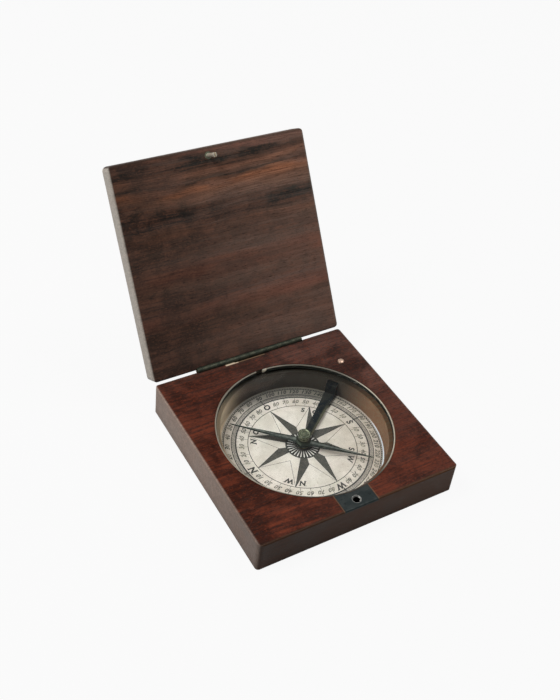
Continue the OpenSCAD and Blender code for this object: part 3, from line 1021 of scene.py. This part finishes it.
@dataclass
class Card(Assembly):
    """The printed card: a star of eight points inside rings of figures."""

    centre: tuple = (0.31, -0.97)
    top: float = 2.0
    print_rise: float = 0.015
    north: float = 187.2
    star_r: float = 20.0
    half_point: float = 22.5
    waist: float = 0.45
    figures_r: float = 24.4
    degrees_r: float = 26.0
    numbers_r: float = 28.8
    outer_gap: float = 0.5
    wind_size: float = 3.3
    half_wind_size: float = 2.8
    half_wind_angle: float = 7.6
    figure_size: float = 2.3
    bold: float = 0.045
    rosette_r: float = 6.4
    rays: int = 28
    bm: Mesh | None = None

    def build(self) -> None:
        """Prints the card and dresses it."""
        paper = Paper("aged_paper", (232, 223, 213), (198, 187, 173), (150, 126, 102))
        self.coat(paper, "compass_card")
        self.bm = bmesh.new()
        self._rings()
        self._ticks()
        self._star()
        self._lettering()
        self._place()
        inks = (
            Ink("black_ink", (20, 20, 22), 0.06),
            Ink("hatched_ink", (22, 24, 24), 0.06, 0.42),
            Ink("faded_ink", (52, 51, 49), 0.4),
        )
        made = piece("card_print", self.bm, "case")
        dress(made, *(ink.build(self.effects) for ink in inks), slot="printed_card")
        self._rosette()

    def _place(self) -> None:
        """Moves the print from its own centre to the card's."""
        vec = (*self.centre, self.top + self.print_rise)
        bmesh.ops.translate(self.bm, vec=vec, verts=self.bm.verts)

    def _rings(self) -> None:
        """Prints the circles."""
        for radius, width in (
            (self.star_r, 0.26), (self.figures_r, 0.5), (self.degrees_r, 0.3),
            (self.numbers_r, 0.3), (self.numbers_r + self.outer_gap, 0.16),
        ):
            ends = [self.bm.verts.new((radius + side * width / 2, 0.0, 0.0)) for side in (-1, 1)]
            spin(self.bm, [*ends, self.bm.edges.new(ends)], 144)

    def _bar(self, degree: float, inner: float, outer: float, width: float) -> None:
        """Prints one radial bar, its direction in degrees clockwise from north."""
        angle = self.north - degree
        self._line((inner, angle), (outer, angle), width)

    def _ticks(self) -> None:
        """Prints the degree marks and the lines at every tenth degree."""
        for degree in range(360):
            reach = 1.4 if degree % 5 == 0 else 1.15
            self._bar(degree, self.figures_r + 0.1, self.figures_r + 0.2 + reach, 0.22)
        for degree in range(0, 360, 10):
            if degree % 90:
                self._bar(degree, self.star_r, self.figures_r, 0.13)
        for degree in range(0, 360, 2):
            self._bar(degree, self.numbers_r, self.numbers_r + self.outer_gap, 0.3)
        for degree in range(0, 360, 90):
            self._bar(degree, self.figures_r - 0.8, self.degrees_r + 0.6, 0.4)

    def _patch(self, corners: list, material: int) -> None:
        """Prints one straight-sided field.

        Args:
            corners: its corners, each a radius and a direction in degrees.
            material: the number of its finish.
        """
        face = self.bm.faces.new([self.bm.verts.new(polar(*corner)) for corner in corners])
        face.material_index = material
        face.normal_update()
        if face.normal.z < 0:
            face.normal_flip()

    def _star(self) -> None:
        """Prints the star: one half of each point is hatched, the other has an outline."""
        inner = self.waist * self.star_r
        for point in range(8):
            angle = self.north - 2 * self.half_point * point
            side = -self.half_point if point < 4 else self.half_point
            tip = (self.star_r, angle)
            self._patch([tip, (inner, angle + side), (0.01, angle)], 1)
            self._line(tip, (inner, angle + side), 0.22)
            self._line(tip, (inner, angle - side), 0.14)
            self._line(tip, (0.5, angle), 0.16)

    def _line(self, start: tuple, end: tuple, width: float) -> None:
        """Prints a straight line between two places, each a radius and a direction in degrees.

        Args:
            start, end: the two places.
            width: the line's width.
        """
        a, b = polar(*start), polar(*end)
        turn = Matrix.Rotation(math.atan2((b - a).y, (b - a).x), 4, "Z")
        strip(self.bm, Matrix.Translation((a + b) / 2) @ turn, (b - a).length, width)

    def _word(
        self, text: str, size: float, radius: float, angle: float, weight: float, ink: int = 0
    ) -> None:
        """Prints a word with its top outwards.

        Args:
            text: the word.
            size: the letters' height.
            radius, angle: the middle of the word.
            weight: how much thicker its strokes are, as a share of the size.
            ink: the number of its finish.
        """
        curve = bpy.data.curves.new("word", "FONT")
        curve.body, curve.size, curve.offset = text, size, weight * size
        curve.shear, curve.space_character = 0.3 if text.isdigit() else 0.15, 1.12
        curve.align_x, curve.align_y, curve.resolution_u = "CENTER", "CENTER", 3
        holder = bpy.data.objects.new("word", curve)
        mesh = bpy.data.meshes.new_from_object(holder)
        turn = Matrix.Rotation(math.radians(angle - 90), 4, "Z")
        place = turn @ Matrix.Translation((0.0, radius, 0.0))
        self._serifs(text, mesh, size, place)
        mesh.transform(place)
        mesh.polygons.foreach_set("material_index", [ink] * len(mesh.polygons))
        self.bm.from_mesh(mesh)
        bpy.data.objects.remove(holder)
        bpy.data.curves.remove(curve)
        bpy.data.meshes.remove(mesh)

    def _serifs(self, text: str, mesh: bpy.types.Mesh, size: float, place: Matrix) -> None:
        """Prints the short strokes at the ends of a letter's stems; figures have none.

        Args:
            text: the letter.
            mesh: the letter's shape, before it is moved to its place.
            size: the letter's height.
            place: where it goes.
        """
        low, high = (
            Vector(pick(v.co[i] for v in mesh.vertices) for i in range(2)) for pick in (min, max)
        )
        inset = 0.07 * size
        for along, up in SERIFS.get(text, ()):
            x = low.x + inset + (high.x - low.x - 2 * inset) * along
            y = low.y + (high.y - low.y) * up
            strip(self.bm, place @ Matrix.Translation((x, y, 0.0)), 0.34 * size, inset)

    def _lettering(self) -> None:
        """Prints the winds and the two rings of figures."""
        middle = (self.star_r + self.figures_r) / 2
        outer = (self.degrees_r + self.numbers_r) / 2
        for count, text in enumerate(("N", "O", "S", "W")):
            angle = self.north - 90 * count
            self._word(text, self.wind_size, middle - 0.1, angle, self.bold)
        for count, pair in enumerate(("NO", "SO", "SW", "NW")):
            tip = self.north - 45 - 90 * count
            for text, side in zip(pair, (self.half_wind_angle, -self.half_wind_angle)):
                self._word(text, self.half_wind_size, self.star_r - 2.2, tip + side, self.bold)
        for degree in range(0, 360, 10):
            quarter = min(degree % 180, 180 - degree % 180)
            angle = self.north - degree
            if degree % 90:
                self._word(str(quarter), self.figure_size, middle, angle, 0.035, 2)
            self._word(str(degree or 360), self.figure_size, outer, angle, self.bold, 2)

    def _rosette(self) -> None:
        """Prints the dark rosette and its pale rays in the middle of the star."""
        self.bm = bmesh.new()
        bmesh.ops.create_circle(self.bm, cap_ends=True, segments=72, radius=self.rosette_r)
        bmesh.ops.translate(self.bm, vec=(0, 0, 0.01), verts=self.bm.verts)
        for ray in range(self.rays):
            angle = self.north + (ray + 0.5) * 360 / self.rays
            corners = [(2.6, angle), (5.5, angle + 2.1), (6.0, angle), (5.5, angle - 2.1)]
            self._patch(corners, 1)
        pale = [v for face in self.bm.faces if face.material_index == 1 for v in face.verts]
        bmesh.ops.translate(self.bm, vec=(0, 0, 0.02), verts=pale)
        self._place()
        made = piece("card_rosette", self.bm, "case")
        rays = Paper("ray_paper", (246, 243, 236), (226, 220, 206), (170, 152, 128), 0.4)
        black = bpy.data.materials["black_ink"]
        dress(made, black, rays.build(self.effects), slot="printed_card")


@dataclass
class Needle(Assembly):
    """The bevelled needle, its cap and jewel, and the pivot under them."""

    low: float = 3.95
    thick: float = 0.4
    rim: float = 0.22
    hub_r: float = 2.5
    hub_bevel: float = 0.2
    bore_r: float = 1.91
    width: float = 2.8
    stripe: float = 0.6
    tip_width: float = 0.12
    north: float = 27.5
    south: float = 25.7
    angle: float = 137.3

    def build(self) -> None:
        """Cuts the needle and dresses the pieces."""
        bm = bmesh.new()
        self._arm(bm, self.north, 0.0)
        self._arm(bm, self.south, math.pi)
        self._hub(bm)
        for face in bm.faces:
            # painted shade: the bevels take a darker copy of the steel
            face.material_index = int(abs(face.normal.z) < 0.99)
        turn = Matrix.Rotation(math.radians(self.angle), 3, "Z")
        bmesh.ops.rotate(bm, cent=ORIGIN, matrix=turn, verts=bm.verts)
        bmesh.ops.translate(bm, vec=(WELL[0], WELL[1], self.low), verts=bm.verts)
        made = piece("needle_blade", bm, "pointer")
        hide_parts("needle")
        steel = Metal(
            "old_blued_steel", (150, 154, 146), (76, 84, 78), cover=0.55, stain=1.6,
            rough=(0.3, 0.45), metallic=0.8, vary=0.4,
        )
        # painted shade: a darker copy of the steel for the bevels
        bevel = Metal(
            "dark_bevel", (96, 102, 96), (40, 45, 42), cover=0.8, stain=1.6,
            rough=(0.35, 0.5), metallic=0.8, vary=0.2,
        )
        sides = (finish.build(self.effects) for finish in (steel, bevel))
        dress(made, *sides, slot="blued_steel")
        cap = Metal(
            "turned_cap", (150, 154, 126), (50, 56, 46), cover=0.5, stain=0.9,
            # painted shade on the cap's lower part, below its shoulder
            metallic=0.8, middle=WELL, turned=0.3, vary=0.6, foot=6.0,
        )
        self.coat(cap, "needle_cap")
        self.coat(Agate(), "cap_jewel")
        bush = Metal(
            "brass_bush", (190, 156, 92), (96, 82, 50), cover=0.5, rough=(0.25, 0.45), middle=WELL,
            turned=0.15,
        )
        self.coat(bush, "pivot_bush")
        post = Metal(
            "polished_steel", (196, 198, 202), (120, 118, 114), cover=0.3, stain=0.5,
            rough=(0.15, 0.35),
        )
        self.coat(post, "pivot_post")

    def _arm(self, bm: Mesh, length: float, turn: float) -> None:
        """Draws one arm: a bevelled section pulled out to the tip and narrowed there.

        Args:
            bm: the needle.
            length: the tip's distance from the pivot.
            turn: the arm's direction in radians.
        """
        start = self.bore_r + 0.1
        right = [(self.width / 2, 0), (self.width / 2, self.rim), (self.stripe, self.thick)]
        section = [(-right[0][0], 0), *right, *((-y, z) for y, z in reversed(right[1:]))]
        root = bm.faces.new([bm.verts.new((start, y, z)) for y, z in section])
        pulled = bmesh.ops.extrude_face_region(bm, geom=[root])["geom"]
        tip = [v for v in pulled if isinstance(v, bmesh.types.BMVert)]
        bmesh.ops.translate(bm, vec=(length - start, 0, 0), verts=tip)
        bmesh.ops.scale(bm, vec=(1.0, self.tip_width / self.width, 1.0), verts=tip)
        arm = list({v for f in bm.faces for v in f.verts if v in tip or v in root.verts})
        bmesh.ops.rotate(bm, cent=ORIGIN, matrix=Matrix.Rotation(turn, 3, "Z"), verts=arm)
        bmesh.ops.recalc_face_normals(bm, faces=bm.faces)

    def _hub(self, bm: Mesh) -> None:
        """Spins the bevelled ring around the cap.

        Args:
            bm: the needle.
        """
        section = (
            (self.bore_r, 0), (self.hub_r, 0), (self.hub_r, self.rim),
            (self.hub_r - self.hub_bevel, self.thick), (self.bore_r, self.thick),
        )
        verts = [bm.verts.new((x, 0, z)) for x, z in section]
        edges = [bm.edges.new(pair) for pair in zip(verts, verts[1:] + verts[:1])]
        spin(bm, verts + edges, 96)
        bmesh.ops.recalc_face_normals(bm, faces=bm.faces)


@dataclass
class Lifter(Assembly):
    """The push pin, the cranked lever and the fulcrum under the glass."""

    pin: Triple = (30.18, 22.80, 0.0)

    def build(self) -> None:
        """Dresses the pieces."""
        lever = Metal(
            "blackened_lever", (150, 143, 112), (35, 42, 48), cover=0.95, stain=3.0,
            # wear and a painted highlight: the tarnish thins along the lever's right edge
            rough=(0.35, 0.5), vary=0.1, middle=WELL, worn=(0.621, -0.784, 0.3, 1.6),
        )
        self.coat(lever, "lifter_lever")
        fulcrum = Metal(
            "brass_fulcrum", (196, 158, 92), (104, 84, 48), cover=0.5, rough=(0.25, 0.45)
        )
        self.coat(fulcrum, "lifter_fulcrum")
        dress(self.nodes["fulcrum_pin"], bpy.data.materials["polished_steel"])
        push = Metal(
            "copper_pin", (250, 216, 192), (190, 136, 104), cover=0.2, metallic=0.4,
            middle=self.pin, turned=0.2, vary=0.2,
        )
        self.coat(push, "lifter_pin")


@dataclass
class Catch(Assembly):
    """The strike plate on the base and the split stud on the lid."""

    def build(self) -> None:
        """Dresses the pieces."""
        plate = Metal(
            "blackened_plate", (190, 190, 186), (62, 69, 69), cover=0.98, stain=5.0,
            rough=(0.35, 0.5), middle=HOLE, shine=(1.75, 0.15), vary=0.06,
        )
        self.coat(plate, "strike_plate")
        pins = Metal(
            "blackened_pins", (104, 106, 104), (40, 46, 48), cover=0.8, stain=0.6
        )
        self.coat(pins, "strike_plate_pins")
        rosette = Metal(
            "green_brass", (176, 182, 160), (84, 96, 80), cover=0.5,
            rough=(0.35, 0.6), metallic=0.7,
        )
        self.coat(rosette, "catch_plate")
        stud = Metal(
            "bright_brass", (252, 242, 222), (170, 152, 120), cover=0.15,
            rough=(0.2, 0.4), metallic=0.5, vary=0.25,
        )
        self.coat(stud, "catch_stud")


@dataclass
class Studio:
    """The pale floor, the soft lamps and the camera; places are in metres."""

    eye: Triple = (-0.15773, -0.20882, 0.28229)
    right: Triple = (0.8537, -0.5086, 0.1118)
    up: Triple = (0.2476, 0.5853, 0.7721)
    back: Triple = (-0.4581, -0.6315, 0.6256)
    lens: float = 53.574
    shift: tuple = (-0.0406, -0.0805)
    floor_half: float = 3.0
    floor_grey: float = 0.55
    world_level: float = 0.12
    white: float = 0.93
    glossy: float = 0.2
    lamps: tuple = (
        ("key_lamp", (-0.5, 0.2, 0.82), 0.35, 4.7),
        ("fill_lamp", (0.45, 0.05, 0.85), 0.4, 2.1),
    )

    def build(self) -> None:
        """Sets up the whole studio."""
        self._floor()
        self._world()
        for lamp in self.lamps:
            self._lamp(*lamp)
        self._camera()
        bpy.context.scene.view_settings.view_transform = "Standard"

    def _floor(self) -> None:
        """Lays the floor, which shows white and keeps the object's shadow."""
        bm = bmesh.new()
        bmesh.ops.create_grid(bm, x_segments=4, y_segments=4, size=self.floor_half)
        floor = shape("floor", bm)
        material = bpy.data.materials.new("pale_floor")
        tree = cleared(material)
        matt = add("BsdfDiffuse", {"Color": (*(self.floor_grey,) * 3, 1.0)}, tree)
        white = add("Emission", {"Color": (1.0, 1.0, 1.0, 1.0), "Strength": 1.0}, tree)
        rays = add("LightPath", tree=tree).outputs
        straight = most(rays["Is Camera Ray"], rays["Is Transmission Ray"])
        straight = times(straight, self.white)
        seen = most(straight, times(rays["Is Glossy Ray"], self.glossy))
        both = add("MixShader", {0: seen, 1: matt.outputs[0], 2: white.outputs[0]})
        add("OutputMaterial", {"Surface": both.outputs[0]})
        floor.data.materials.append(material)
        floor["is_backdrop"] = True

    def _world(self) -> None:
        """Lights the room evenly."""
        world = bpy.data.worlds.new("studio_room")
        tree = cleared(world)
        seen = add("LightPath", tree=tree).outputs["Is Camera Ray"]
        level = most(times(seen, self.white), self.world_level)
        sky = add("Background", {"Color": (1.0, 1.0, 1.0, 1.0), "Strength": level})
        add("OutputWorld", {"Surface": sky.outputs[0]})
        bpy.context.scene.world = world

    def _lamp(self, name: str, place: Triple, size: float, power: float) -> None:
        """Hangs one soft lamp that points at the object.

        Args:
            name: the lamp's name.
            place: where it hangs.
            size: the side of its square face.
            power: its power in watts.
        """
        light = bpy.data.lights.new(name, "AREA")
        light.size, light.energy = size, power
        lamp = stand(name, light)
        lamp.location = place
        lamp.rotation_euler = Vector(place).to_track_quat("Z", "Y").to_euler()

    def _camera(self) -> None:
        """Puts the camera where the photograph was taken from."""
        data = bpy.data.cameras.new("camera")
        data.lens, data.sensor_width = self.lens, 36.0
        data.shift_x, data.shift_y = self.shift
        data.clip_start, data.clip_end = 0.01, 20.0
        camera = stand("camera", data)
        turn = Matrix((self.right, self.up, self.back)).transposed().to_4x4()
        camera.matrix_world = Matrix.Translation(self.eye) @ turn
        bpy.context.scene.camera = camera


def plain(box: tuple) -> list:
    """Turns a box into plain lists of numbers."""
    return [[float(v) for v in corner] for corner in box]


def main() -> None:
    """Builds the finishes, the new pieces and the studio."""
    logging.basicConfig(level=logging.INFO, format="%(name)s: %(message)s")
    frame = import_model()
    solid_box = plain(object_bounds())
    effects = Effects()
    for part in (Case, Hinge, Window, Card, Needle, Lifter, Catch):
        part(frame["nodes"], effects).build()
    Studio().build()
    {"cad": solid_box, "visual": plain(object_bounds())}
    LOG.info("%d CAD nodes dressed", len(frame["nodes"]))


if __name__ == "__main__":
    main()
